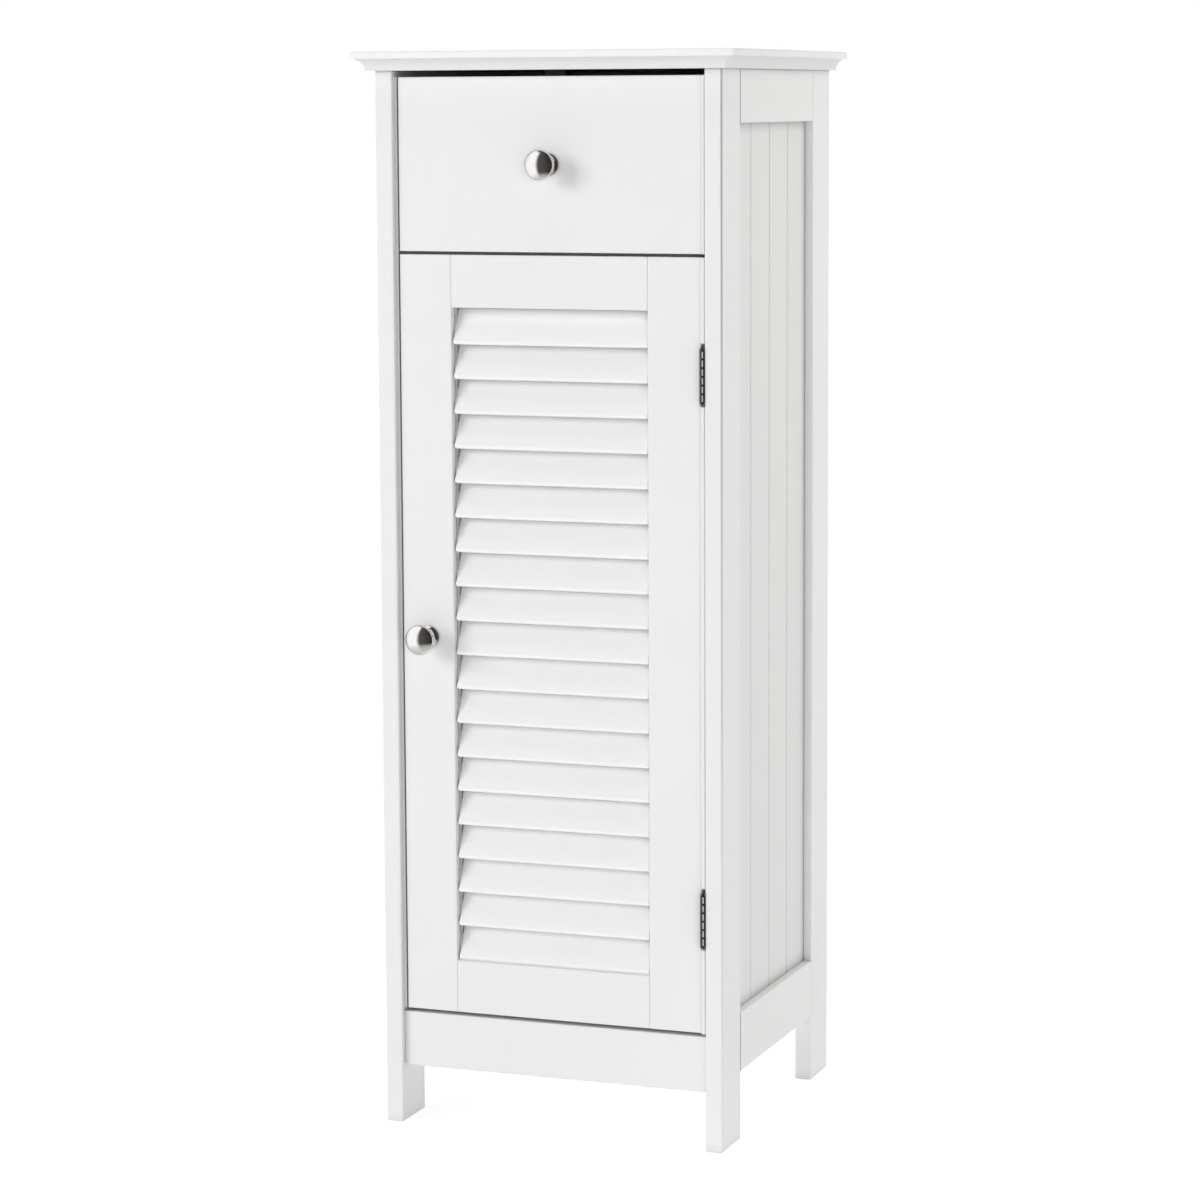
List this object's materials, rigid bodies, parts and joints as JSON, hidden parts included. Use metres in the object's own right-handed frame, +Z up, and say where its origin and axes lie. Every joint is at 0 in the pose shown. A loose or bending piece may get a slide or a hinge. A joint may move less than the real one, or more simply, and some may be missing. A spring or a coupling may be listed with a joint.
{
  "type": "louvred door cabinet",
  "caption": "Narrow white floor cabinet on legs with a drawer over a louvred door, metal knobs, bead board sides and a moulded top.",
  "frame": {"origin": "on the floor, under the middle of the whole cabinet's box, knobs included", "axes": "+X to the right seen from the front, +Y to the back, +Z up; the drawer and door face -Y"},
  "size_m": [0.32, 0.3046, 0.87],
  "materials": {
    "white_paint": "white lacquer on fibreboard, satin",
    "white_board": "white foil on fibreboard, matt",
    "polished_nickel": "polished nickel plate on cast zinc",
    "beech": "bare beech, sanded",
    "nickel": "nickel plate, satin",
    "plated_steel": "zinc plate, bright",
    "zinc_screws": "zinc plate, bright",
    "cast_zinc": "die-cast zinc alloy, dull",
    "white_plastic": "moulded plastic, matt",
    "magnet": "ferrite, dark grey"
  },
  "bodies": {
    "carcass": {"top_board": "white_paint", "front_post_left": "white_paint", "front_post_right": "white_paint", "rear_post_left": "white_paint", "rear_post_right": "white_paint", "upper_side_rail_left": "white_paint", "upper_side_rail_right": "white_paint", "lower_side_rail_left": "white_paint", "lower_side_rail_right": "white_paint", "side_panel_left": "white_paint", "side_panel_right": "white_paint", "front_apron": "white_paint", "bottom_board": "white_paint", "divider_board": "white_paint", "back_panel": "white_board", "shelf": "white_paint", "shelf_pins": "plated_steel", "drawer_runner_left": "beech", "drawer_runner_right": "beech", "runner_screws": "zinc_screws", "drawer_stop": "white_paint", "drawer_stop_screw": "zinc_screws", "magnetic_catch": "white_plastic", "catch_magnet": "magnet", "catch_screws": "zinc_screws", "hinge_upper_post_leaf": "nickel", "hinge_lower_post_leaf": "nickel", "hinge_upper_pin": "nickel", "hinge_lower_pin": "nickel", "hinge_post_screws": "nickel", "dowels": "beech", "cam_locks": "cast_zinc", "cam_bolts": "zinc_screws"},
    "drawer": {"drawer_front": "white_paint", "drawer_side_left": "white_board", "drawer_side_right": "white_board", "drawer_back": "white_board", "drawer_bottom": "white_board", "drawer_knob": "polished_nickel", "drawer_knob_screw": "zinc_screws", "drawer_cam_locks": "cast_zinc", "drawer_cam_bolts": "zinc_screws", "drawer_back_screws": "zinc_screws"},
    "door": {"door_stile_hinge_side": "white_paint", "door_stile_knob_side": "white_paint", "door_rail_top": "white_paint", "door_rail_bottom": "white_paint", "louvre_slats": "white_paint", "door_knob": "polished_nickel", "door_knob_screw": "zinc_screws", "hinge_upper_door_leaf": "nickel", "hinge_lower_door_leaf": "nickel", "hinge_door_screws": "nickel", "strike_plate": "plated_steel", "strike_plate_screw": "zinc_screws"}
  },
  "joints": [
    {"name": "drawer_slide", "type": "slide", "parent": "carcass", "child": "drawer", "axis": [0, -1, 0], "range_m": [0, 0.2]},
    {"name": "door_hinge", "type": "hinge", "parent": "carcass", "child": "door", "pos_m": [0.12875, -0.13075, 0], "axis": [0, 0, 1], "range_deg": [0, 180]}
  ]
}
